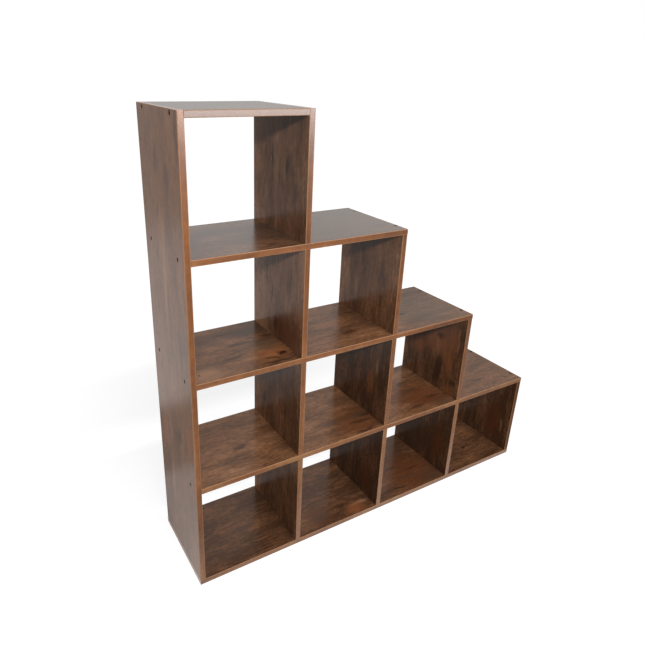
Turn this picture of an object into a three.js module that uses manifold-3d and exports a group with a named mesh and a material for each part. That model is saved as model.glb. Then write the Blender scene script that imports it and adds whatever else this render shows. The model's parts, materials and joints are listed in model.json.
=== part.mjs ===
// Staircase bookshelf: open cubes in columns that step down from left to right.
// Millimetres, +Z up. The front faces -Y, the tall column stands at -X, and the
// origin is the middle of the underside.

import * as THREE from 'three';
import { mergeVertices } from 'three/addons/utils/BufferGeometryUtils.js';
import Module from 'manifold-3d';

const wasm = await Module();
wasm.setup();

// Driving dimensions
const columnCount = 4;
const cubeWidth = 305;
const cubeHeight = 309;
const shelfDepth = 290;
const boardThickness = 16;

// Countersunk screws, flush with the faces that they go through
const screwLength = 50;
const screwShankDiameter = 6.3;
const screwHeadDiameter = 10;
const screwRimHeight = 0.6;
const screwPointLength = 6;
const screwSink = 0.3;
const recessLength = 5.4;
const recessWidth = 1.3;
const recessDepth = 2.2;

// Plain dowels through the crossings
const dowelLength = 60;
const dowelDiameter = 8;
const dowelChamfer = 1;

// Where the screws and dowels sit, and how they fit
const fixingInset = 45;
const fixingGap = 0.3;
const cutOverrun = 1;
const roundSides = 10;

const columnPitch = cubeWidth + boardThickness;
const tierPitch = cubeHeight + boardThickness;
const shelfWidth = columnCount * columnPitch + boardThickness;
const shelfHeight = columnCount * tierPitch + boardThickness;

const laminate = new THREE.MeshStandardMaterial({ color: 0x7d6352, roughness: 0.45, metalness: 0 });
const blackSteel = new THREE.MeshStandardMaterial({ color: 0x2a2725, roughness: 0.4, metalness: 0.9 });
const beech = new THREE.MeshStandardMaterial({ color: 0xd6b68a, roughness: 0.8, metalness: 0 });

// Solids and booleans

function toSolid(geometry) {
  const bare = geometry.clone();
  bare.deleteAttribute('normal');
  bare.deleteAttribute('uv');
  const merged = mergeVertices(bare);
  const corners = merged.index.array;
  const triangles = [];
  for (let i = 0; i < corners.length; i += 3) {
    const [a, b, c] = corners.slice(i, i + 3);
    if (a !== b && b !== c && c !== a) triangles.push(a, b, c);
  }
  return new wasm.Manifold(new wasm.Mesh({
    numProp: 3,
    vertProperties: merged.attributes.position.array,
    triVerts: new Uint32Array(triangles),
  }));
}

function toGeometry(solid) {
  const { vertProperties, triVerts } = solid.getMesh();
  const geometry = new THREE.BufferGeometry();
  geometry.setAttribute('position', new THREE.BufferAttribute(vertProperties, 3));
  geometry.setIndex(new THREE.BufferAttribute(triVerts, 1));
  geometry.computeVertexNormals();
  return geometry;
}

// A turned solid on the Z axis, from its radii and heights, listed from the bottom up
function turned(outline) {
  const points = outline.map(([radius, height]) => new THREE.Vector2(radius, height));
  return toSolid(new THREE.LatheGeometry(points, roundSides).rotateX(Math.PI / 2));
}

// Screws and dowels lie on the Z axis. A screw points down from a face at height 0, and
// a dowel is centred on 0. A hole is the same outline, wider and longer by the gap.

function screwOutline(gap, top) {
  const headRadius = screwHeadDiameter / 2 + gap;
  const shankRadius = screwShankDiameter / 2 + gap;
  const rimBottom = -screwSink - screwRimHeight;
  const headBottom = rimBottom - (screwHeadDiameter - screwShankDiameter) / 2;
  const tip = -screwSink - screwLength - gap;
  return [
    [0, tip],
    [shankRadius, tip + screwPointLength],
    [shankRadius, headBottom],
    [headRadius, rimBottom],
    [headRadius, top],
    [0, top],
  ];
}

function dowelOutline(gap) {
  const radius = dowelDiameter / 2 + gap;
  const end = dowelLength / 2 + gap;
  return [
    [0, -end],
    [radius - dowelChamfer, -end],
    [radius, dowelChamfer - end],
    [radius, end - dowelChamfer],
    [radius - dowelChamfer, end],
    [0, end],
  ];
}

// The cross recess in a screw's head
function crossRecess() {
  const recessHeight = recessDepth + cutOverrun;
  const middle = cutOverrun - screwSink - recessHeight / 2;
  const along = new THREE.BoxGeometry(recessLength, recessWidth, recessHeight).translate(0, 0, middle);
  const across = new THREE.BoxGeometry(recessWidth, recessLength, recessHeight).translate(0, 0, middle);
  return toSolid(along).add(toSolid(across));
}

const fixings = {
  screw: {
    geometry: toGeometry(turned(screwOutline(0, -screwSink)).subtract(crossRecess())),
    hole: turned(screwOutline(fixingGap, cutOverrun)),
    material: blackSteel,
  },
  dowel: {
    geometry: toGeometry(turned(dowelOutline(0))),
    hole: turned(dowelOutline(fixingGap)),
    material: beech,
  },
};

// Boards, by name, with the holes to drill in each

const boards = new Map();

function addBoard(name, left, right, bottom, top) {
  boards.set(name, { left, right, bottom, top, holes: [] });
}

// Left face of the upright at the right of a column, with the left side panel as column 0
function uprightLeft(column) {
  return column * columnPitch - shelfWidth / 2;
}

// Underside of the board on a level, with the bottom panel as level 0
function levelBottom(level) {
  return level * tierPitch;
}

// Columns that reach up to a level or hold a tier of cubes
function columnsUnder(level) {
  return columnCount - level + 1;
}

function levelName(level) {
  if (level === 0) return 'bottom_panel';
  return level === columnCount ? 'top_panel' : `shelf_level_${level}`;
}

function uprightName(tier, column) {
  if (column === 0) return 'left_side_panel';
  return column === columnsUnder(tier) ? `end_panel_tier_${tier}` : `divider_tier_${tier}_column_${column}`;
}

const innerLeft = uprightLeft(0) + boardThickness;

// The bottom panel lies under every upright, and the top panel sits between two
addBoard(levelName(0), uprightLeft(0), shelfWidth / 2, 0, boardThickness);
addBoard(uprightName(1, 0), uprightLeft(0), innerLeft, boardThickness, shelfHeight);
addBoard(levelName(columnCount), innerLeft, uprightLeft(1), shelfHeight - boardThickness, shelfHeight);

// Each shelf is one long board from the left side panel to over the end panel below it
for (let level = 1; level < columnCount; level += 1) {
  const right = uprightLeft(columnsUnder(level)) + boardThickness;
  addBoard(levelName(level), innerLeft, right, levelBottom(level), levelBottom(level) + boardThickness);
}

// Each upright is one tier high, and only the highest one runs up to the top face
for (let tier = 1; tier <= columnCount; tier += 1) {
  const bottom = levelBottom(tier - 1) + boardThickness;
  const top = tier === columnCount ? shelfHeight : levelBottom(tier);
  for (let column = 1; column <= columnsUnder(tier); column += 1) {
    const left = uprightLeft(column);
    addBoard(uprightName(tier, column), left, left + boardThickness, bottom, top);
  }
}

// Screws and dowels, placed with the holes that they need

const down = new THREE.Vector3(0, 0, -1);
const up = new THREE.Vector3(0, 0, 1);
const toRight = new THREE.Vector3(1, 0, 0);
const toLeft = new THREE.Vector3(-1, 0, 0);
const halfBoard = boardThickness / 2;
const fixingMeshes = [];

function addFixing(name, kind, x, y, z, direction, boardNames) {
  const { geometry, hole, material } = fixings[kind];
  const mesh = new THREE.Mesh(geometry, material);
  mesh.name = name;
  mesh.position.set(x, y, z);
  mesh.quaternion.setFromUnitVectors(down, direction);
  mesh.updateMatrix();
  fixingMeshes.push(mesh);
  const placedHole = hole.transform(mesh.matrix.elements);
  boardNames.forEach((boardName) => boards.get(boardName).holes.push(placedHole));
}

// One row of fixings near the front edges or the back edges
function addFixingRow(side, y) {
  // Through the left side panel into the end of each shelf and of the top panel
  for (let level = 1; level <= columnCount; level += 1) {
    const z = levelBottom(level) + halfBoard;
    addFixing(`side_screw_level_${level}_${side}`, 'screw', uprightLeft(0), y, z, toRight,
      [uprightName(level, 0), levelName(level)]);
  }

  // Through the highest end panel into the other end of the top panel
  addFixing(`top_screw_${side}`, 'screw', uprightLeft(1) + boardThickness, y, shelfHeight - halfBoard, toLeft,
    [uprightName(columnCount, 1), levelName(columnCount)]);

  // Down through each step into the end panel below it
  for (let level = 1; level < columnCount; level += 1) {
    const column = columnsUnder(level);
    const z = levelBottom(level) + boardThickness;
    addFixing(`step_screw_level_${level}_${side}`, 'screw', uprightLeft(column) + halfBoard, y, z, down,
      [levelName(level), uprightName(level, column)]);
  }

  // Up through the bottom panel into every upright that stands on it
  for (let column = 0; column <= columnCount; column += 1) {
    addFixing(`base_screw_column_${column}_${side}`, 'screw', uprightLeft(column) + halfBoard, y, 0, up,
      [levelName(0), uprightName(1, column)]);
  }

  // Through each shelf where one upright stands above another
  for (let level = 1; level < columnCount; level += 1) {
    for (let column = 1; column < columnsUnder(level); column += 1) {
      const z = levelBottom(level) + halfBoard;
      addFixing(`dowel_level_${level}_column_${column}_${side}`, 'dowel', uprightLeft(column) + halfBoard, y, z, up,
        [uprightName(level, column), levelName(level), uprightName(level + 1, column)]);
    }
  }
}

addFixingRow('front', fixingInset - shelfDepth / 2);
addFixingRow('back', shelfDepth / 2 - fixingInset);

// The boards, drilled, and the whole unit

function boardMesh(name, { left, right, bottom, top, holes }) {
  const middle = new THREE.Vector3((left + right) / 2, 0, (bottom + top) / 2);
  const box = toSolid(new THREE.BoxGeometry(right - left, shelfDepth, top - bottom));
  const drilled = holes.reduce(
    (rest, hole) => rest.subtract(hole.translate(-middle.x, -middle.y, -middle.z)),
    box,
  );
  const mesh = new THREE.Mesh(toGeometry(drilled), laminate);
  mesh.name = name;
  mesh.position.copy(middle);
  return mesh;
}

const bookshelf = new THREE.Group();
boards.forEach((board, name) => bookshelf.add(boardMesh(name, board)));
bookshelf.add(...fixingMeshes);

export default bookshelf;
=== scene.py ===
import json
import math

import bmesh
import bpy
from mathutils import Matrix, Vector

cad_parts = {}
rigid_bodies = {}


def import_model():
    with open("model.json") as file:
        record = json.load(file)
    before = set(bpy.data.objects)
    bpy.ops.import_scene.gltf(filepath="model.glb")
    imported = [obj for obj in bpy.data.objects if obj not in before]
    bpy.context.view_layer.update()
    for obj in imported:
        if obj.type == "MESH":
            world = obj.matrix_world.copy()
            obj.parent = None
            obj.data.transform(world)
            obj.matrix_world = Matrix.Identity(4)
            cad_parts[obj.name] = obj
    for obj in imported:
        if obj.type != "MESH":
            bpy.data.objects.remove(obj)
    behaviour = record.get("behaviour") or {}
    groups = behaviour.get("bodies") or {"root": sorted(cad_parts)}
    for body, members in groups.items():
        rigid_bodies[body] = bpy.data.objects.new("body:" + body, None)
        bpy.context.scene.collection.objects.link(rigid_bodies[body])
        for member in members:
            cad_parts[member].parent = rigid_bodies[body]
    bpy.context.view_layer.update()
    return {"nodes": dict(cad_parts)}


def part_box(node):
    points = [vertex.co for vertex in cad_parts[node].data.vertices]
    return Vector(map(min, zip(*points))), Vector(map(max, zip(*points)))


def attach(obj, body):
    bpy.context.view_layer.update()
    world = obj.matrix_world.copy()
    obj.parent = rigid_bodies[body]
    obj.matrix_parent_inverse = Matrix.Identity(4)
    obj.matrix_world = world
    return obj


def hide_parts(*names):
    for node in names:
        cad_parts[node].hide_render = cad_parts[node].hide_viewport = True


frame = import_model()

# Staircase bookshelf of rustic brown melamine boards, in metres, dressed around its frame.
# The front faces -Y and the tall column stands at -X.

mm = 0.001
speck = 0.01 * mm                # two heights closer than this count as one
scene = bpy.context.scene

# Camera, at the viewing angle of the photograph

cameraSettings = {
    "place": (-1.0602, -1.3151, 1.4001),
    "target": (-0.1916, 0.1396, 0.7025),
    "roll": 1.447,               # degrees about the view axis
    "lens": 31.69,               # mm
    "sensor": 36,                # width of the frame, mm
    "shift": (0.0456, -0.0316),
    "sight": 100,                # how far the camera sees, m
}


def makeCamera(settings):
    data = bpy.data.cameras.new("photoCamera")
    data.sensor_width = settings["sensor"]
    data.lens = settings["lens"]
    data.shift_x, data.shift_y = settings["shift"]
    data.clip_end = settings["sight"]
    camera = bpy.data.objects.new("photoCamera", data)
    place = Vector(settings["place"])
    look = (Vector(settings["target"]) - place).to_track_quat("-Z", "Y").to_matrix().to_4x4()
    roll = Matrix.Rotation(math.radians(settings["roll"]), 4, "Z")
    camera.matrix_world = Matrix.Translation(place) @ look @ roll
    scene.collection.objects.link(camera)
    scene.camera = camera


makeCamera(cameraSettings)
print("camera placed")

# The nodes of the frame, by kind. The grain runs along X on the shelves and along Z on the
# uprights.

boardNodes = sorted(name for name in frame["nodes"] if "screw" not in name and "dowel" not in name)
screwNodes = sorted(name for name in frame["nodes"] if "screw" in name)
dowelNodes = sorted(name for name in frame["nodes"] if "dowel" in name)
touchReach = 0.5 * mm            # how far outside a box a point still counts as in it


def grainAxis(node):
    low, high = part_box(node)
    return 0 if high[2] - low[2] < high[0] - low[0] else 2


def boxHolds(node, point):
    low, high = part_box(node)
    return all(a - touchReach < p < b + touchReach for a, p, b in zip(low, point, high))


# The ends of a board that no other board covers, as -1 for the low end and 1 for the high one
def bareEnds(node):
    low, high = [Vector(corner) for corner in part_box(node)]
    axis = grainAxis(node)
    bare = []
    for side, corner in ((-1, low), (1, high)):
        middle = (low + high) / 2
        middle[axis] = corner[axis]
        if not any(boxHolds(other, middle) for other in boardNodes if other != node):
            bare.append(side)
    return bare


# Colours, shader nodes and patterns


def linearColour(code):
    channels = [int(code[i:i + 2], 16) / 255 for i in (1, 3, 5)]
    return (*[c / 12.92 if c <= 0.04045 else ((c + 0.055) / 1.055) ** 2.4 for c in channels], 1)


def addNode(tree, kind, settings=None, inputs=None):
    node = tree.nodes.new(kind)
    for name, value in (settings or {}).items():
        setattr(node, name, value)
    for name, value in (inputs or {}).items():
        if isinstance(value, bpy.types.NodeSocket):
            tree.links.new(value, node.inputs[name])
        else:
            node.inputs[name].default_value = value
    return node


def newMaterial(name):
    material = bpy.data.materials.new(name)
    material.use_nodes = True
    tree = material.node_tree
    tree.nodes.clear()
    shader = addNode(tree, "ShaderNodeBsdfPrincipled")
    addNode(tree, "ShaderNodeOutputMaterial", inputs={"Surface": shader.outputs[0]})
    return material, tree, shader


# Turns a tone into colours in a row, each with its place between 0 and 1
def paintTone(tree, tone, stops):
    ramp = addNode(tree, "ShaderNodeValToRGB", inputs={"Fac": tone})
    elements = ramp.color_ramp.elements
    while len(elements) < len(stops):
        elements.new(1)
    for element, (place, code) in zip(elements, stops):
        element.position = place
        element.color = linearColour(code)
    return ramp.outputs["Color"]


# One noise layer, stretched to blots of a real length along the grain and width across it
def grainNoise(tree, place, size, detail, twist=0.0):
    length, width = size
    through = 20 * mm                # the blot's size the third way, on a face through the board
    spread = addNode(tree, "ShaderNodeMapping", inputs={
        "Vector": place, "Scale": (1 / (length * mm), 1 / (width * mm), 1 / through)})
    return addNode(tree, "ShaderNodeTexNoise", inputs={
        "Vector": spread.outputs[0], "Scale": 1, "Detail": detail, "Roughness": 0.55,
        "Distortion": twist}).outputs["Fac"]


# A tone between 0 and 1, summed from noise layers of (size, detail, weight) about a middle tone
def layeredTone(tree, place, layers, middle=0.5, contrast=1.0):
    tone = middle - contrast * sum(weight for size, detail, weight in layers) / 2
    for size, detail, weight in layers:
        tone = addNode(tree, "ShaderNodeMath", {"operation": "MULTIPLY_ADD"}, {
            0: grainNoise(tree, place, size, detail), 1: contrast * weight, 2: tone}).outputs[0]
    return tone


# Blots where a noise layer rises between two values, and their colour over what lies below
def paintBlots(tree, colour, noise, rise, strength, code):
    blot = addNode(tree, "ShaderNodeMapRange", {"interpolation_type": "SMOOTHSTEP"}, {
        "Value": noise, "From Min": rise[0], "From Max": rise[1], "To Max": strength}).outputs[0]
    mixed = addNode(tree, "ShaderNodeMix", {"data_type": "RGBA"}, {
        "Factor": blot, 6: colour, 7: linearColour(code)})
    return mixed.outputs[2], blot


# Object coordinates turned so that X runs along the grain, and moved on for each board
def grainPlace(tree, axis, shift=0.0):
    turns = {0: (0, 0, 0), 1: (0, 0, math.radians(-90)), 2: (0, math.radians(90), 0)}
    place = addNode(tree, "ShaderNodeTexCoord").outputs["Object"]
    return addNode(tree, "ShaderNodeMapping", inputs={
        "Vector": place, "Rotation": turns[axis], "Location": (shift, 0, 0)}).outputs[0]


# Melamine laminate: a printed paper of smoky, knotty walnut pressed under clear resin. The
# colour is blotched and streaked, with painted shade and painted reflection in some marks, and
# the resin over it is even, with a soft mirror gloss.

laminateLook = {
    "tones": [(0.2, "#3e281a"), (0.42, "#5a3c28"), (0.58, "#6b4931"), (0.8, "#856149")],
    "toneLayers": [
        ((170, 60), 4, 0.84),    # broad blots: length and width in mm, detail, weight
        ((260, 20), 3, 0.32),    # long streaks
        ((50, 5), 3, 0.58),      # fibres, coarser than the real ones so that they show
        ((14, 9), 2, 0.42),      # mottle
        ((45, 1.3), 2, 0.34),    # hairlines, which only a close look shows
    ],
    "wander": (300, 16),         # how far along and across the grain bends, mm
    "smoke": "#3f2b1e",
    "smokeSize": (120, 40),      # length and width of a smoky patch, mm
    "smokeRise": (0.54, 0.66),   # the noise where a patch begins and where it is full
    "smokeStrength": 0.45,
    "tick": "#2a1c14",
    "tickSize": (15, 2.8),       # short dark pores, drawn about twice as coarse as they are, mm
    "tickRise": (0.6, 0.72),
    "tickStrength": 0.36,
    "ragged": (30, 48),          # size of the notches in a mark's edge, and how far noise moves it, mm
    "markDepth": 7,              # how far a mark reaches in under the face, mm
    # The rim is bruised laminate, darkened further with painted shade of the countersink's edge
    "rim": 13.6,                 # diameter of the bruised rim of a screw hole, mm
    "roughness": 0.35,
    "roughnessChange": 0.05,
    "resinRoughness": 0.24,
    "emboss": 0.03,              # depth of the pressed pores, mm
    "boardShift": 2.7,           # moves the print from board to board, m
}

# How each board departs from the mean: lighter or darker tone, the share of the tone layers
# and of the smoke that shows, and lighter or darker tape at its left or lower end and at the
# other one. The tone and tape shifts are partly print that differs from board to board and
# partly painted light and shade, set by how much light reaches each board and each end of its
# tape, and the boards of the lowest tier are painted darker as painted shade. The resin is the
# share of the surface that mirrors, and the gloss is the tape's.
boardPrintAndShade = {node: {
    "tone": 0, "contrast": 1, "smoke": 1, "resin": 0.5 if grainAxis(node) == 0 else 0.38,
    "tape": (0, 0) if grainAxis(node) == 0 else (0.1, -0.04), "gloss": 0.4} for node in boardNodes}
for node, change in {
    "left_side_panel": {
        "contrast": 0.6, "smoke": 0.3, "resin": 0.5, "tape": (0.08, -0.06), "gloss": 0.34},
    "top_panel": {"tone": -0.3, "resin": 0.68, "tape": (-0.27, -0.27)},
    "end_panel_tier_4": {"tone": 0.06, "smoke": 0.6, "tape": (-0.15, -0.2)},
    "divider_tier_3_column_1": {"tone": 0.2, "smoke": 0.6, "resin": 0.36},
    "end_panel_tier_3": {"tape": (0.02, -0.1)},
    "divider_tier_2_column_2": {"tone": -0.2},
    "end_panel_tier_2": {"tone": -0.08, "tape": (-0.04, -0.12)},
    "divider_tier_1_column_1": {"tape": (0.26, 0.13)},
    "divider_tier_1_column_2": {"tone": -0.26, "tape": (0.2, 0.18)},
    "divider_tier_1_column_3": {"tone": -0.28, "tape": (0.1, 0.1)},
    "end_panel_tier_1": {"tone": -0.18, "tape": (-0.12, -0.26), "gloss": 0.04},
    "bottom_panel": {"tone": -0.2, "tape": (0.11, 0.11)},
    "shelf_level_1": {"tape": (0.18, 0.18)},
    "shelf_level_2": {"tone": -0.07, "tape": (0.05, -0.03)},
    "shelf_level_3": {"tone": -0.2, "resin": 0.79, "tape": (0.12, -0.1)},
}.items():
    boardPrintAndShade[node].update(change)

# What a mark turns to: colour, strength, and how far out it stays full. Most kinds are print,
# but the deep red-brown one is painted shade, the grey-brown veil a painted reflection, and the
# screw-hole rim bruised laminate with painted shade
markKinds = {
    "knot": ("#25130b", 0.95, 0.35),
    "dark": ("#2e1d13", 0.78, 0.2),
    "smoke": ("#402c20", 0.7, 0.1),
    # Painted reflection: a grey-brown veil over the print, standing in for the pale surround mirrored at
    # a grazing angle
    "paintedReflection": ("#483a2b", 0.6, 0.3),
    "light": ("#8a664c", 0.55, 0.0),
    "warm": ("#7a4829", 0.6, 0.1),
    # Painted shade: darkens the lower cubes' floors and walls, deep inside and by their corners, where
    # less light reaches
    "deep": ("#4c2815", 0.75, 0.2),
    # Bruised laminate round a screw hole, darkened further with painted shade of the countersink's edge
    "rim": ("#160e09", 0.92, 0.82),
}

# Marks on the face that shows, the upper face of a shelf and the left face of an upright, most
# of them print, some painted shade and some painted reflection: kind, distance from the left
# or lower end, distance from the front edge, length along the grain and width across it, in
# mm, and tilt in degrees
boardMarks = {
    "top_panel": [("paintedReflection", 152, 145, 520, 560, 0)],
    "left_side_panel": [
        ("smoke", 1182, 171, 120, 44, 4), ("smoke", 1057, 174, 74, 18, -3),
        ("smoke", 946, 193, 80, 24, 5), ("smoke", 1143, 93, 150, 48, -4),
        ("smoke", 1246, 14, 180, 30, 0), ("smoke", 435, 113, 90, 50, 18),
        ("warm", 372, 243, 200, 90, 10), ("warm", 470, 30, 170, 70, -8),
        ("light", 860, 150, 420, 36, 1), ("smoke", 720, 60, 190, 40, -3),
        ("light", 230, 190, 260, 40, 2), ("smoke", 610, 232, 90, 14, 3),
    ],
    "shelf_level_2": [
        ("warm", 255, 70, 200, 120, 12), ("smoke", 105, 215, 140, 70, 12),
        ("smoke", 216, 232, 120, 60, -6), ("smoke", 66, 236, 150, 90, 0),
        ("light", 42, 36, 140, 110, 0), ("paintedReflection", 250, 125, 110, 110, 0),
        ("smoke", 292, 232, 110, 170, 0), ("dark", 184, 160, 92, 32, 4),
        ("dark", 140, 88, 96, 20, 14), ("knot", 275, 57, 34, 30, 15),
        ("dark", 243, 39, 74, 15, -25), ("dark", 246, 16, 88, 18, 4), ("knot", 26, 42, 16, 11, 0),
        ("smoke", 158, 89, 96, 24, 16), ("smoke", 179, 160, 120, 36, -6),
        ("smoke", 204, 236, 230, 80, 0), ("dark", 289, 175, 50, 34, 10),
        ("smoke", 762, 52, 180, 64, 6), ("paintedReflection", 840, 120, 380, 330, 0),
        ("dark", 748, 109, 46, 22, 0), ("dark", 935, 232, 22, 14, 0), ("dark", 520, 80, 90, 22, 8),
        ("smoke", 430, 190, 160, 50, -5), ("smoke", 225, 212, 170, 64, 4),
        ("smoke", 128, 188, 130, 40, -8), ("dark", 165, 236, 90, 18, 6),
        ("dark", 232, 178, 64, 15, -10),
    ],
    "shelf_level_1": [
        ("smoke", 1192, 150, 170, 56, 8), ("dark", 1120, 70, 60, 16, -8),
        ("warm", 1090, 130, 160, 60, 5), ("knot", 1232, 36, 20, 14, 0), ("dark", 170, 120, 80, 26, 10),
        ("smoke", 480, 90, 150, 50, -6), ("light", 770, 60, 110, 24, 4), ("dark", 840, 180, 60, 20, 0),
        ("deep", 860, 90, 340, 240, 0), ("deep", 585, 55, 260, 260, 0), ("smoke", 900, 12, 130, 90, 0),
        ("smoke", 590, 92, 170, 60, 4), ("dark", 575, 60, 120, 20, -4), ("dark", 615, 84, 90, 16, 5),
        ("smoke", 620, 24, 130, 34, 3), ("dark", 560, 12, 110, 18, 2), ("smoke", 845, 128, 130, 34, 5),
        ("dark", 890, 66, 90, 16, -4), ("dark", 800, 38, 110, 14, 3),
    ],
    "shelf_level_3": [
        ("paintedReflection", 490, 145, 580, 580, 0),
        ("smoke", 590, 60, 110, 40, 8), ("dark", 230, 40, 70, 20, -6), ("smoke", 90, 200, 120, 44, 4),
        ("dark", 470, 200, 60, 18, 5), ("knot", 560, 180, 18, 13, 0),
    ],
    "end_panel_tier_4": [
        ("dark", 174, 101, 78, 30, 6), ("dark", 192, 179, 84, 12, 0), ("dark", 207, 215, 46, 11, 0),
        ("light", 189, 262, 44, 18, 0), ("light", 183, 152, 50, 22, 4), ("light", 96, 210, 90, 26, 0),
        ("smoke", 110, 60, 120, 36, -4), ("light", 276, 190, 100, 150, 0),
    ],
    "divider_tier_3_column_1": [
        ("dark", 54, 153, 90, 24, 6), ("dark", 188, 210, 66, 12, -4), ("dark", 131, 175, 106, 15, 0),
        ("light", 131, 222, 110, 60, 0), ("light", 176, 260, 50, 40, 0),
        ("smoke", 200, 70, 130, 40, 5), ("deep", 40, 90, 190, 260, 0),
    ],
    "end_panel_tier_3": [("smoke", 180, 80, 120, 40, 5), ("light", 90, 200, 120, 30, 0)],
    "divider_tier_2_column_1": [("smoke", 210, 120, 110, 44, -6), ("dark", 80, 220, 60, 18, 0)],
    "divider_tier_2_column_2": [
        ("warm", 120, 90, 150, 40, 4), ("light", 190, 60, 90, 14, 0), ("dark", 230, 160, 70, 24, -5),
    ],
    "end_panel_tier_2": [
        ("light", 197, 25, 90, 16, 3), ("light", 168, 118, 80, 30, -6), ("warm", 110, 60, 140, 44, 0),
        ("warm", 180, 115, 190, 220, 0), ("warm", 130, 205, 100, 84, 0), ("warm", 220, 48, 150, 46, 0),
        ("warm", 12, 50, 70, 90, 0), ("smoke", 90, 258, 90, 44, 0), ("dark", 76, 104, 170, 48, 3),
        ("dark", 205, 112, 40, 54, 0), ("dark", 54, 32, 40, 44, 0), ("light", 236, 30, 90, 9, 2),
    ],
    "divider_tier_1_column_3": [("smoke", 200, 90, 120, 46, 6), ("deep", 110, 60, 220, 90, 0)],
    "divider_tier_1_column_2": [("smoke", 190, 140, 130, 50, -4), ("deep", 80, 70, 200, 80, 0)],
    "end_panel_tier_1": [
        ("deep", 100, 80, 260, 130, 4), ("dark", 210, 120, 70, 24, 0), ("light", 90, 36, 90, 18, 0),
    ],
    "bottom_panel": [
        ("smoke", 190, 130, 160, 50, 5), ("dark", 520, 60, 90, 22, 0), ("warm", 860, 60, 180, 40, 4),
        ("knot", 1150, 90, 22, 15, 0), ("light", 600, 40, 120, 18, 0), ("deep", 860, 90, 380, 280, 0),
        ("smoke", 925, 30, 170, 120, 0), ("warm", 570, 26, 110, 70, 0),
        ("deep", 440, 50, 150, 130, 0), ("smoke", 445, 46, 130, 100, 0),
        ("dark", 800, 128, 110, 18, 4), ("smoke", 845, 66, 150, 36, -3), ("dark", 890, 96, 90, 15, 5),
        ("smoke", 760, 172, 130, 34, 0), ("dark", 770, 30, 120, 16, -4),
    ],
}


# Paints one mark over a colour, as an ellipsoid about a point
def paintMark(tree, colour, place, kind, middle, turn, halves):
    code, strength, full = markKinds[kind]
    near = addNode(tree, "ShaderNodeMapping", {"vector_type": "TEXTURE"}, {
        "Vector": place, "Location": middle, "Rotation": turn, "Scale": halves})
    away = addNode(tree, "ShaderNodeVectorMath", {"operation": "LENGTH"}, {0: near.outputs[0]})
    part = addNode(tree, "ShaderNodeMapRange", {"interpolation_type": "SMOOTHSTEP"}, {
        "Value": away.outputs["Value"], "From Min": full, "From Max": 1,
        "To Min": strength, "To Max": 0})
    return addNode(tree, "ShaderNodeMix", {"data_type": "RGBA"}, {
        "Factor": part.outputs[0], 6: colour, 7: linearColour(code)}).outputs[2]


# The marks on a board's face, which don't reach its other face: print, painted shade and painted
# reflection. Also the dark rims of its screw holes, bruised laminate with painted shade of the
# countersink's edge
def addMarks(tree, node, colour):
    look = laminateLook
    low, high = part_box(node)
    flat = grainAxis(node) == 0
    place = addNode(tree, "ShaderNodeTexCoord").outputs["Object"]
    rag = addNode(tree, "ShaderNodeTexNoise", inputs={
        "Vector": place, "Scale": 1 / (look["ragged"][0] * mm), "Detail": 4, "Roughness": 0.6})
    centred = addNode(tree, "ShaderNodeVectorMath", {"operation": "SUBTRACT"}, {
        0: rag.outputs["Color"], 1: (0.5, 0.5, 0.5)})
    deep = look["ragged"][1] * mm
    reach = (deep, deep / 2, 0) if flat else (0, deep / 2, deep)
    warped = addNode(tree, "ShaderNodeVectorMath", {"operation": "MULTIPLY_ADD"}, {
        0: centred.outputs[0], 1: reach, 2: place}).outputs[0]
    for kind, end, front, length, width, tilt in boardMarks.get(node, []):
        halves = (length * mm / 2, width * mm / 2, look["markDepth"] * mm)
        middle = (low[0] + end * mm, low[1] + front * mm, high[2])
        turn = (0, 0, math.radians(tilt))
        if not flat:
            halves = halves[::-1]
            middle = (low[0], low[1] + front * mm, low[2] + end * mm)
            turn = turn[::-1]
        colour = paintMark(tree, colour, warped, kind, middle, turn, halves)
    # Dark rims round the screw heads: bruised laminate and painted shade
    rim = look["rim"] / 2 * mm
    for screw in screwNodes:
        head = fixingMatrix(screw).translation
        if boxHolds(node, head):
            colour = paintMark(tree, colour, place, "rim", head, (0, 0, 0), (rim, rim, rim))
    return colour


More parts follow.
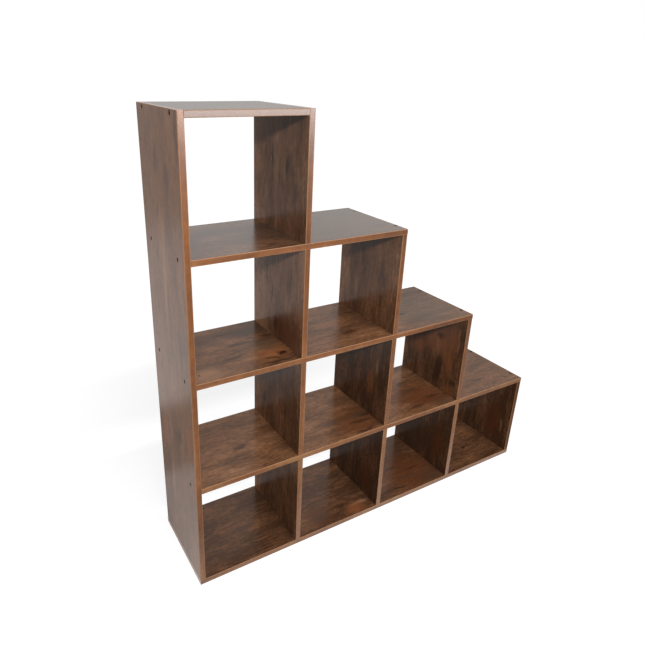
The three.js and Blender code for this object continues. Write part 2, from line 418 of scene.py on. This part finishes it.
def makeLaminate(node, number):
    look, own = laminateLook, boardPrintAndShade[node]
    material, tree, shader = newMaterial(f"melamineLaminate_{node}")
    place = grainPlace(tree, grainAxis(node), number * look["boardShift"])
    length, swing = look["wander"]
    bend = grainNoise(tree, place, (length, length / 3), 1)
    offset = addNode(tree, "ShaderNodeMapRange", inputs={
        "Value": bend, "To Min": -swing * mm, "To Max": swing * mm})
    push = addNode(tree, "ShaderNodeCombineXYZ", inputs={"Y": offset.outputs[0]})
    place = addNode(tree, "ShaderNodeVectorMath", {"operation": "ADD"}, {
        0: place, 1: push.outputs[0]}).outputs[0]
    tone = layeredTone(tree, place, look["toneLayers"], 0.5 + own["tone"], own["contrast"])
    colour = paintTone(tree, tone, look["tones"])
    smoke = grainNoise(tree, place, look["smokeSize"], 4, 0.6)
    colour, _ = paintBlots(
        tree, colour, smoke, look["smokeRise"], look["smokeStrength"] * own["smoke"], look["smoke"])
    pores = grainNoise(tree, place, look["tickSize"], 1)
    colour, tick = paintBlots(tree, colour, pores, look["tickRise"], look["tickStrength"], look["tick"])
    colour = addMarks(tree, node, colour)
    tree.links.new(colour, shader.inputs["Base Color"])
    rough = addNode(tree, "ShaderNodeMapRange", inputs={
        "Value": tone, "To Min": look["roughness"] + look["roughnessChange"],
        "To Max": look["roughness"] - look["roughnessChange"]})
    tree.links.new(rough.outputs[0], shader.inputs["Roughness"])
    height = addNode(tree, "ShaderNodeMath", {"operation": "SUBTRACT"}, {0: 1.0, 1: tick})
    bump = addNode(tree, "ShaderNodeBump", inputs={
        "Height": height.outputs[0], "Distance": look["emboss"] * mm, "Strength": 1.0})
    tree.links.new(bump.outputs[0], shader.inputs["Normal"])
    tree.links.new(bump.outputs[0], shader.inputs["Coat Normal"])
    shader.inputs["Specular IOR Level"].default_value = 0
    shader.inputs["Coat Weight"].default_value = own["resin"]
    shader.inputs["Coat Roughness"].default_value = look["resinRoughness"]
    return material


# Chipboard core: pressed softwood chips, seen only on sawn ends and in drilled holes, where
# it gives a pale, flaky speckle

chipboardLook = {
    "tones": [(0.25, "#7d5f3d"), (0.45, "#a98557"), (0.6, "#c3a171"), (0.8, "#dac196")],
    "chip": 5,                   # size of a chip, mm
    "relief": 0.3,               # how far a chip stands out, mm
    "reliefStrength": 0.6,
    "roughness": 0.9,
}


def makeChipboard():
    look = chipboardLook
    material, tree, shader = newMaterial("chipboardCore")
    place = addNode(tree, "ShaderNodeTexCoord").outputs["Object"]
    chips = addNode(tree, "ShaderNodeTexVoronoi", inputs={
        "Vector": place, "Scale": 1 / (look["chip"] * mm), "Randomness": 1})
    grey = addNode(tree, "ShaderNodeSeparateColor", inputs={"Color": chips.outputs["Color"]})
    tree.links.new(paintTone(tree, grey.outputs[0], look["tones"]), shader.inputs["Base Color"])
    bump = addNode(tree, "ShaderNodeBump", inputs={
        "Height": chips.outputs["Distance"], "Distance": look["relief"] * mm,
        "Strength": look["reliefStrength"]})
    tree.links.new(bump.outputs[0], shader.inputs["Normal"])
    shader.inputs["Roughness"].default_value = look["roughness"]
    return material


# PVC edge tape: a thin printed strip in a warmer brown than the boards, finely lined along
# its length, with both arrises scraped round, which leaves them paler and duller

tapeLook = {
    "tones": [(0.28, "#4a2c17"), (0.46, "#5c371d"), (0.6, "#673f22"), (0.78, "#775231")],
    "toneLayers": [((170, 22), 3, 0.5), ((200, 3.6), 2, 0.55), ((22, 2.6), 2, 0.35)],
    "scrape": "#94704f",
    "scrapeRise": (0.7, 1),      # from the middle of the tape's width to its edges, as 0 to 1
    "scrapeStrength": 0.5,
    "roughness": 0.26,
    "scrapedRoughness": 0.6,     # at the arrises, which the scraper leaves dull
    "thickness": 1.5,            # mm
    "arris": 1.2,                # radius of the scraped arrises, mm
    "endArris": 0.5,             # the same on a board's end, where it lies beside another board
    "arrisSteps": 3,
}


def makeTape(node, axis):
    look = tapeLook
    material, tree, shader = newMaterial(f"pvcEdgeTape_{node}_{'xyz'[axis]}")
    low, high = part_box(node)
    along = grainAxis(node)
    apart = addNode(tree, "ShaderNodeSeparateXYZ", inputs={
        0: addNode(tree, "ShaderNodeTexCoord").outputs["Object"]})
    first, last = boardPrintAndShade[node]["tape"]
    middle = addNode(tree, "ShaderNodeMapRange", inputs={
        "Value": apart.outputs[along], "From Min": low[along], "From Max": high[along],
        "To Min": first, "To Max": last})
    tone = addNode(tree, "ShaderNodeMath", {"operation": "ADD"}, {
        0: layeredTone(tree, grainPlace(tree, axis), look["toneLayers"]),
        1: middle.outputs[0]}).outputs[0]
    thin = 2 - along
    across = addNode(tree, "ShaderNodeMapRange", inputs={
        "Value": apart.outputs[thin], "From Min": low[thin], "From Max": high[thin], "To Min": -1})
    away = addNode(tree, "ShaderNodeMath", {"operation": "ABSOLUTE"}, {0: across.outputs[0]}).outputs[0]
    colour = paintTone(tree, tone, look["tones"])
    colour, _ = paintBlots(
        tree, colour, away, look["scrapeRise"], look["scrapeStrength"], look["scrape"])
    tree.links.new(colour, shader.inputs["Base Color"])
    dull = addNode(tree, "ShaderNodeMapRange", inputs={
        "Value": away, "From Min": look["scrapeRise"][0], "From Max": look["scrapeRise"][1],
        "To Min": look["roughness"], "To Max": look["scrapedRoughness"]})
    tree.links.new(dull.outputs[0], shader.inputs["Roughness"])
    shader.inputs["Specular IOR Level"].default_value = boardPrintAndShade[node]["gloss"]
    return material


# Meshes and pieces


def addPiece(name, bm, nodes, materials):
    mesh = bpy.data.meshes.new(name)
    bm.to_mesh(mesh)
    bm.free()
    piece = bpy.data.objects.new(name, mesh)
    scene.collection.objects.link(piece)
    for material in materials:
        mesh.materials.append(material)
    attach(piece, "root")
    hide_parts(*nodes)


def addBox(bm, low, high):
    made = bmesh.ops.create_cube(bm, size=1)["verts"]
    bmesh.ops.scale(bm, vec=high - low, verts=made)
    bmesh.ops.translate(bm, vec=(low + high) / 2, verts=made)
    return made


# A closed turned solid on the Z axis, from its radii and heights listed from the bottom up
def turnedSolid(outline, steps):
    bm = bmesh.new()
    points = [bm.verts.new((radius, 0, height)) for radius, height in outline]
    lines = [bm.edges.new(pair) for pair in zip(points, points[1:])]
    bmesh.ops.spin(bm, geom=points + lines, cent=(0, 0, 0), axis=(0, 0, 1), angle=math.tau,
                   steps=steps, use_merge=True)
    bmesh.ops.remove_doubles(bm, verts=bm.verts, dist=speck / 10)
    bmesh.ops.recalc_face_normals(bm, faces=bm.faces)
    return bm


def cutWith(bm, cutter):
    body, tool = [bpy.data.objects.new(name, bpy.data.meshes.new(name)) for name in ("body", "tool")]
    for part, source in ((body, bm), (tool, cutter)):
        source.to_mesh(part.data)
        source.free()
        scene.collection.objects.link(part)
    cut = body.modifiers.new("cut", "BOOLEAN")
    cut.operation = "DIFFERENCE"
    cut.solver = "EXACT"
    cut.object = tool
    bpy.context.view_layer.update()
    drilled = bmesh.new()
    drilled.from_object(body, bpy.context.evaluated_depsgraph_get())
    for part in (body, tool):
        mesh = part.data
        bpy.data.objects.remove(part)
        bpy.data.meshes.remove(mesh)
    return drilled


# Screws and dowels: where each one sits, and the hole that it needs

screwLook = {
    "shank": 6.3, "sink": 0.3, "rim": 0.6, "point": 6,   # mm
    "root": 4.4, "pitch": 3, "threadShare": 0.66,        # thread, mm and share of the length
    "crestSlope": 3, "crestReach": 1.15,                 # how steep and how high a crest is
    "recess": (5.4, 1.3, 2.2), "recessTaper": 0.6,       # length, width and depth of the cross, mm
    "gap": 0.3, "overrun": 1, "sides": 28, "threadSteps": 6,
}
screwDirections = {"side": (1, 0, 0), "top": (-1, 0, 0), "step": (0, 0, -1), "base": (0, 0, 1)}
dowelLook = {"chamfer": 1, "flute": 0.35, "flutes": 14, "plain": 0.5, "gap": 0.3, "sides": 28}  # mm


# Turns a screw that hangs down from the origin to its place, its head at the box's near end
def fixingMatrix(node):
    low, high = [Vector(corner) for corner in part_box(node)]
    direction = Vector(screwDirections.get(node.split("_")[0], (0, 0, -1)))
    head = (low + high) / 2
    if node in screwNodes:
        head -= direction * max(high - low) / 2
    turn = Vector((0, 0, -1)).rotation_difference(direction).to_matrix().to_4x4()
    return Matrix.Translation(head) @ turn


def fixingSize(node):
    low, high = [Vector(corner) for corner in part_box(node)]
    return max(high - low), min(high - low) / 2


def screwHole(length, headRadius):
    look = screwLook
    gap, shank = look["gap"] * mm, look["shank"] / 2 * mm + look["gap"] * mm
    wide = headRadius + gap
    rim = -look["rim"] * mm
    tip = -length - gap
    top = (look["sink"] + look["overrun"]) * mm
    return turnedSolid([
        (0, tip), (shank, tip + look["point"] * mm), (shank, rim - (wide - shank)), (wide, rim),
        (wide, top), (0, top)], look["sides"])


def dowelHole(length, radius):
    wide, end = radius + dowelLook["gap"] * mm, length / 2 + dowelLook["gap"] * mm
    return turnedSolid([(0, -end), (wide, -end), (wide, end), (0, end)], dowelLook["sides"])


# The cross-shaped driver recess, as a cutter that narrows downwards
def crossCutter():
    look = screwLook
    length, width, depth = [size * mm for size in look["recess"]]
    bm = bmesh.new()
    bmesh.ops.create_cube(bm, size=1)
    bmesh.ops.scale(bm, vec=(width, width, depth * 2), verts=bm.verts)
    for side in [face for face in bm.faces if abs(face.normal.z) < 0.5]:
        arm = bmesh.ops.extrude_discrete_faces(bm, faces=[side])["faces"][0]
        bmesh.ops.translate(bm, vec=arm.normal * (length - width) / 2, verts=arm.verts)
    low = [vert for vert in bm.verts if vert.co.z < 0]
    bmesh.ops.scale(bm, vec=(look["recessTaper"], look["recessTaper"], 1), verts=low)
    return bm


# A countersunk screw, hanging down from the origin, with its thread wound round the shank
def screwBody(length, headRadius):
    look = screwLook
    shank, root, pitch = look["shank"] / 2 * mm, look["root"] / 2 * mm, look["pitch"] * mm
    rim, point = -look["rim"] * mm, look["point"] * mm
    threadTop = -length * (1 - look["threadShare"])
    rise = pitch / look["threadSteps"]
    rings = int((threadTop + length - point) / rise)
    outline = [(0, -length)]
    outline += [(root * step / look["threadSteps"], -length + point * step / look["threadSteps"])
                for step in range(1, look["threadSteps"])]
    outline += [(root, -length + point + ring * rise) for ring in range(rings + 1)]
    outline += [(shank, threadTop + pitch), (shank, rim - (headRadius - shank)), (headRadius, rim),
                (headRadius, 0), (0, 0)]
    bm = turnedSolid(outline, look["sides"])
    for vert in bm.verts:
        radius = math.hypot(vert.co.x, vert.co.y)
        if radius < speck or vert.co.z > threadTop + rise / 2:
            continue
        turn = vert.co.z / pitch - math.atan2(vert.co.y, vert.co.x) / math.tau
        crest = max(0, 1 - look["crestSlope"] * abs(turn % 1 - 0.5))
        fade = min(1, (threadTop + rise - vert.co.z) / pitch)
        grown = radius + (shank - root) * look["crestReach"] * crest * fade * min(1, radius / root)
        vert.co.xy *= grown / radius
    return cutWith(bm, crossCutter())


# A dowel, centred on the origin, with pressed flutes along its middle
def dowelBody(length, radius):
    look = dowelLook
    chamfer, end = look["chamfer"] * mm, length / 2
    flat = end - chamfer
    fluted = flat - chamfer - look["plain"] * mm
    bm = turnedSolid([
        (0, -end), (radius - chamfer, -end), (radius, -flat), (radius, -fluted),
        (radius, fluted), (radius, flat), (radius - chamfer, end), (0, end)],
        2 * look["flutes"])
    for vert in bm.verts:
        turn = round(math.atan2(vert.co.y, vert.co.x) / math.tau * 2 * look["flutes"])
        if turn % 2 and abs(vert.co.z) < flat - chamfer:
            vert.co.xy *= 1 - look["flute"] * mm / radius
    return bm


def addCopy(bm, source, matrix):
    known = set(bm.verts)
    bm.from_mesh(source)
    bmesh.ops.transform(bm, matrix=matrix, verts=[vert for vert in bm.verts if vert not in known])


def asMesh(name, bm):
    mesh = bpy.data.meshes.new(name)
    bm.to_mesh(mesh)
    bm.free()
    return mesh


holeMeshes = {
    "screw": asMesh("screwHole", screwHole(*fixingSize(screwNodes[0]))),
    "dowel": asMesh("dowelHole", dowelHole(*fixingSize(dowelNodes[0]))),
}


def boxesMeet(first, second):
    return all(a < d and c < b for a, b, c, d in zip(*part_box(first), *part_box(second)))


# Boards, each a drilled core and the tape on its edges

chipboard = makeChipboard()


def makeCore(node, number):
    low, high = [Vector(corner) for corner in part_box(node)]
    axis = grainAxis(node)
    taped = tapeLook["thickness"] * mm
    low.y += taped
    high.y -= taped
    for side in bareEnds(node):
        corner = low if side < 0 else high
        corner[axis] -= side * taped
    core = bmesh.new()
    addBox(core, low, high)
    holes = bmesh.new()
    for fixing in screwNodes + dowelNodes:
        if boxesMeet(fixing, node):
            kind = "screw" if fixing in screwNodes else "dowel"
            addCopy(holes, holeMeshes[kind], fixingMatrix(fixing))
    core = cutWith(core, holes)
    thin = 2 - axis                      # the axis of the board's thickness
    for face in core.faces:
        place = face.calc_center_median()[thin]
        onSkin = min(abs(place - low[thin]), abs(place - high[thin])) < speck
        face.material_index = 0 if onSkin and abs(face.normal[thin]) > 0.99 else 1
    addPiece(f"{node}_board", core, [node], [makeLaminate(node, number), chipboard])


# One strip of tape with its two long outer arrises rounded. The axis is the way it runs, and
# outward is the way it faces.
def addStrip(bm, low, high, axis, outward, arris, slotIndex):
    made = addBox(bm, low, high)
    edge = max(vert.co.dot(outward) for vert in made)
    outer = {vert for vert in made if edge - vert.co.dot(outward) < speck}
    lines = [line for line in bm.edges if all(vert in outer for vert in line.verts)
             and abs((line.verts[0].co - line.verts[1].co)[axis]) > 2 * tapeLook["thickness"] * mm]
    rounded = bmesh.ops.bevel(bm, geom=lines, offset=arris * mm, affect="EDGES",
                              segments=tapeLook["arrisSteps"], profile=0.5, material=-1)
    for face in {face for vert in rounded["verts"] for face in vert.link_faces} | {
            face for vert in made if vert.is_valid for face in vert.link_faces}:
        face.material_index = slotIndex


def makeTapes(node):
    low, high = [Vector(corner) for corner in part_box(node)]
    axis = grainAxis(node)
    thick = tapeLook["thickness"] * mm
    strips = bmesh.new()
    for side in (-1, 1):
        first, last = low.copy(), high.copy()
        if side < 0:
            last.y = low.y + thick
        else:
            first.y = high.y - thick
        addStrip(strips, first, last, axis, Vector((0, side, 0)), tapeLook["arris"], 0)
    for side in bareEnds(node):
        first, last = low + Vector((0, thick, 0)), high - Vector((0, thick, 0))
        outward = Vector((0, 0, 0))
        outward[axis] = side
        if side < 0:
            last[axis] = low[axis] + thick
        else:
            first[axis] = high[axis] - thick
        addStrip(strips, first, last, 1, outward, tapeLook["endArris"], 1)
    materials = [makeTape(node, axis)] + [makeTape(node, 1) for side in bareEnds(node)[:1]]
    addPiece(f"{node}_edge_tape", strips, [node], materials)


for number, node in enumerate(boardNodes):
    makeCore(node, number)
    makeTapes(node)
print("boards drilled and taped")

# Phosphated steel: a thin, dull, nearly black coat that wears to dark grey in spots

steelLook = {
    "colour": "#131110",
    "worn": "#221f1d",
    "wornSize": 2,               # mm
    "wornRise": (0.5, 0.75),
    "roughness": 0.9,
    "specular": 0.06,
}


def makeSteel():
    look = steelLook
    material, tree, shader = newMaterial("blackPhosphatedSteel")
    place = addNode(tree, "ShaderNodeTexCoord").outputs["Object"]
    wear = addNode(tree, "ShaderNodeTexNoise", inputs={
        "Vector": place, "Scale": 1 / (look["wornSize"] * mm), "Detail": 3}).outputs["Fac"]
    colour, _ = paintBlots(
        tree, linearColour(look["colour"]), wear, look["wornRise"], 1, look["worn"])
    tree.links.new(colour, shader.inputs["Base Color"])
    shader.inputs["Specular IOR Level"].default_value = look["specular"]
    shader.inputs["Roughness"].default_value = look["roughness"]
    return material


# Turned beech: pale, close-grained wood with short darker flecks

beechLook = {
    "tones": [(0.3, "#b08a5c"), (0.5, "#c9a677"), (0.7, "#dbbe92")],
    "toneLayers": [((40, 3), 3, 0.7), ((6, 0.8), 2, 0.4)],
    "roughness": 0.7,
}


def makeBeech():
    look = beechLook
    material, tree, shader = newMaterial("turnedBeech")
    tone = layeredTone(tree, grainPlace(tree, 2), look["toneLayers"])
    tree.links.new(paintTone(tree, tone, look["tones"]), shader.inputs["Base Color"])
    shader.inputs["Roughness"].default_value = look["roughness"]
    return material


steel, beech = makeSteel(), makeBeech()
screwMesh = asMesh("screwBody", screwBody(*fixingSize(screwNodes[0])))
dowelMesh = asMesh("dowelBody", dowelBody(*fixingSize(dowelNodes[0])))
headTurn = 37                    # degrees from one screw's cross to the next one's

for number, node in enumerate(screwNodes):
    turned = fixingMatrix(node) @ Matrix.Rotation(math.radians(number * headTurn), 4, "Z")
    screw = bmesh.new()
    addCopy(screw, screwMesh, turned)
    addPiece(f"{node}_threaded", screw, [node], [steel])
for node in dowelNodes:
    dowel = bmesh.new()
    addCopy(dowel, dowelMesh, fixingMatrix(node))
    addPiece(f"{node}_fluted", dowel, [node], [beech])
print("screws and dowels made")

# Floor, world and lamps. The camera sees a nearly white floor and a white background, gloss
# sees painted levels of its own in the floor's glow, with a painted shadow right behind the
# object, and the floor keeps the object's cast shadow.

studio = {
    "floorColour": "#8c8c8c",
    "floorRoughness": 0.9,
    "floorGlow": (0.79, 0.96),   # near the object and far from it, where 1 is white
    "glowReach": (0.7, 2.4),     # where the one ends and the other begins, m from the middle
    "floorHalf": 30,             # m
    # How bright gloss sees the floor's glow, by the place along Y in m, from the front to the back:
    # painted reflections, brighter and darker bands that only gloss sees
    "floorSheen": [(-6, 0.75), (-3, 0.5), (-1.8, 0.25), (-0.42, 0.25), (-0.22, 1.2), (0.34, 0.8),
                   (0.42, 0.3), (0.76, 0.3), (0.88, 1.25), (3, 1.25), (4.5, 0.7), (6, 0.7)],
    # Right behind the object the glow that gloss sees is dimmed, a painted shadow of the object
    "shadeSheen": 0.4,           # the share of it that gloss sees right behind the object
    "shadeLeft": (-0.72, -0.58), # the left edge of that shade, along X in m
    "shadeFront": (-0.1, 0.1),   # its front edge, along Y in m
    "skyLight": 0.24,            # what the surfaces get from the sky, where 1 is white
    "skySheen": 1.12,            # how bright gloss sees the sky
    # A long, low softbox in front, a little above the top
    "key": {
        "place": (-0.3, -1.85, 1.9), "target": (-0.3, 0, 0.75), "size": (2.8, 0.14), "watts": 115},
    # A soft panel at the left, which reaches only the left side panel
    "fill": {
        "place": (-3, 0.2, 1), "target": (-0.65, 0, 0.7), "size": (1.2, 1.2), "watts": 33},
    # A panel that only the tapes' gloss shows, as a sheen on the highest ones
    "sheen": {
        "place": (0.5, -2.2, 1.3), "target": (0.5, 0, 1.3), "size": (2, 0.36), "watts": 60},
}


# How bright something glows for the camera, and how bright for gloss and whatever shows through
def glowFor(tree, camera, gloss, other=0.0):
    path = addNode(tree, "ShaderNodeLightPath")
    glow = other
    for sight, level in (
            ("Is Glossy Ray", gloss), ("Is Transmission Ray", gloss), ("Is Camera Ray", camera)):
        glow = addNode(tree, "ShaderNodeMix", inputs={
            "Factor": path.outputs[sight], "A": glow, "B": level}).outputs["Result"]
    return glow


def makeFloor():
    bm = bmesh.new()
    bmesh.ops.create_grid(bm, x_segments=1, y_segments=1, size=studio["floorHalf"])
    floor = bpy.data.objects.new("studioFloor", asMesh("studioFloor", bm))
    scene.collection.objects.link(floor)
    material, tree, shader = newMaterial("paleFloor")
    shader.inputs["Base Color"].default_value = linearColour(studio["floorColour"])
    shader.inputs["Roughness"].default_value = studio["floorRoughness"]
    shader.inputs["Specular IOR Level"].default_value = 0
    place = addNode(tree, "ShaderNodeTexCoord").outputs["Object"]
    away = addNode(tree, "ShaderNodeVectorMath", {"operation": "LENGTH"}, {0: place}).outputs["Value"]
    glow = addNode(tree, "ShaderNodeMapRange", {"interpolation_type": "SMOOTHSTEP"}, {
        "Value": away, "From Min": studio["glowReach"][0], "From Max": studio["glowReach"][1],
        "To Min": studio["floorGlow"][0], "To Max": studio["floorGlow"][1]}).outputs[0]
    apart = addNode(tree, "ShaderNodeSeparateXYZ", inputs={0: place})
    sheen = studio["floorSheen"][0][1]
    for (start, low), (end, high) in zip(studio["floorSheen"], studio["floorSheen"][1:]):
        rise = addNode(tree, "ShaderNodeMapRange", {"interpolation_type": "SMOOTHSTEP"}, {
            "Value": apart.outputs["Y"], "From Min": start, "From Max": end, "To Max": high - low})
        sheen = addNode(tree, "ShaderNodeMath", {"operation": "ADD"}, {
            0: sheen, 1: rise.outputs[0]}).outputs[0]
    # A painted shadow of the object in the floor's glow that only gloss sees, right behind it
    shade = 1 - studio["shadeSheen"]
    for axis, (start, end) in (("X", studio["shadeLeft"]), ("Y", studio["shadeFront"])):
        shade = addNode(tree, "ShaderNodeMapRange", inputs={
            "Value": apart.outputs[axis], "From Min": start, "From Max": end, "To Max": shade}).outputs[0]
    bare = addNode(tree, "ShaderNodeMath", {"operation": "SUBTRACT"}, {0: 1.0, 1: shade}).outputs[0]
    sheen = addNode(tree, "ShaderNodeMath", {"operation": "MULTIPLY"}, {0: sheen, 1: bare})
    shader.inputs["Emission Color"].default_value = (1, 1, 1, 1)
    tree.links.new(glowFor(tree, glow, sheen.outputs[0]), shader.inputs["Emission Strength"])
    floor.data.materials.append(material)


def makeWorld():
    world = bpy.data.worlds.new("studioWorld")
    scene.world = world
    world.use_nodes = True
    tree = world.node_tree
    tree.nodes.clear()
    background = addNode(tree, "ShaderNodeBackground", inputs={
        "Color": (1, 1, 1, 1), "Strength": glowFor(tree, 1.0, studio["skySheen"], studio["skyLight"])})
    addNode(tree, "ShaderNodeOutputWorld", inputs={"Surface": background.outputs[0]})


def addLamp(name, settings):
    data = bpy.data.lights.new(name, "AREA")
    data.shape = "RECTANGLE"
    data.size, data.size_y = settings["size"]
    data.energy = settings["watts"]
    lamp = bpy.data.objects.new(name, data)
    lamp.location = settings["place"]
    aim = Vector(settings["target"]) - Vector(settings["place"])
    lamp.rotation_euler = aim.to_track_quat("-Z", "Y").to_euler()
    scene.collection.objects.link(lamp)
    return lamp


# Gloss doesn't show the two softboxes, which would be hot streaks on the shelf tops from
# behind, and only the gloss of the tapes shows the sheen panel
def makeLamps():
    for name in ("key", "fill"):
        addLamp(f"{name}Softbox", studio[name]).visible_glossy = False
    sheen = addLamp("sheenPanel", studio["sheen"])
    sheen.visible_diffuse = False
    tapes = bpy.data.collections.new("edgeTapes")
    for node in boardNodes:
        tapes.objects.link(bpy.data.objects[f"{node}_edge_tape"])
    sheen.light_linking.receiver_collection = tapes


makeFloor()
makeWorld()
makeLamps()
scene.view_settings.view_transform = "Standard"
print("floor, world and lamps set")
